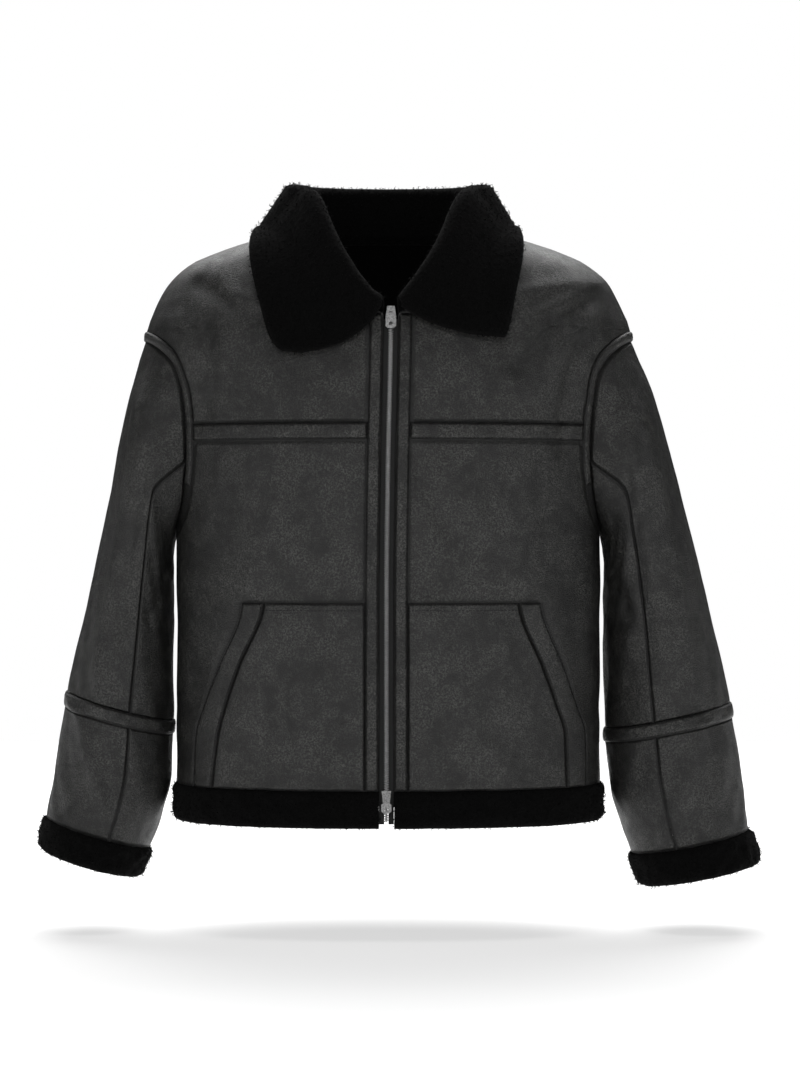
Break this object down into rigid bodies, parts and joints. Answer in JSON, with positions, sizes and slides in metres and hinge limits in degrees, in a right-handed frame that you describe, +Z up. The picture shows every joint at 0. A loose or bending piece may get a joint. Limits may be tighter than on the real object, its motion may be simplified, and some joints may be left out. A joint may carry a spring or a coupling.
{
  "type": "leather jacket",
  "caption": "Black shearling leather jacket with a wool collar, wool hem band and turned-up cuffs, slanted patch pockets and a two-way zip, filled out as if worn.",
  "frame": {"origin": "base of the neck, in the middle of the jacket, where the wearer's neck and shoulders carry it", "axes": "Z up, front toward -Y, X to the right as seen from the front"},
  "size_m": [0.826, 0.2718, 0.8089],
  "materials": {
    "leather": "waxed and slightly worn, fine grain, speckled sheen",
    "leather_band": "coarser grain, satin",
    "wool": "matte curly sheep's wool",
    "zip_tape": "matte woven tape",
    "zip_metal": "dark silver, slightly worn"
  },
  "bodies": {
    "jacket": {"armhole_band_left": "leather_band", "armhole_band_right": "leather_band", "back": "leather", "collar": "wool", "cuff_left": "wool", "cuff_right": "wool", "forearm_under_left": "leather", "forearm_under_right": "leather", "forearm_upper_left": "leather", "forearm_upper_right": "leather", "front_left": "leather", "front_right": "leather", "front_yoke_left": "leather", "front_yoke_right": "leather", "hem_band_back": "wool", "hem_band_front_left": "wool", "hem_band_front_right": "wool", "placket_left": "leather", "placket_right": "leather", "pocket_left": "leather", "pocket_right": "leather", "pocket_welt_left": "leather", "pocket_welt_right": "leather", "sleeve_band_left": "leather_band", "sleeve_band_right": "leather_band", "sleeve_under_left": "leather", "sleeve_under_right": "leather", "sleeve_upper_left": "leather", "sleeve_upper_right": "leather", "slider_bottom": "zip_metal", "slider_top": "zip_metal", "yoke_band_left": "leather_band", "yoke_band_right": "leather_band", "zip_chain": "zip_metal", "zip_tape_left": "zip_tape", "zip_tape_right": "zip_tape"},
    "upper_pull": {"pull_top": "zip_metal"},
    "lower_pull": {"pull_bottom": "zip_metal"}
  },
  "joints": [
    {"name": "upper_pull_turn", "type": "hinge", "parent": "jacket", "child": "upper_pull", "pos_m": [0.00319, -0.12038, -0.07641], "axis": [-1, 0, 0], "range_deg": [0, 100]},
    {"name": "lower_pull_turn", "type": "hinge", "parent": "jacket", "child": "lower_pull", "pos_m": [-0.00179, -0.13205, -0.6111], "axis": [-1, 0, 0], "range_deg": [0, 100]}
  ]
}
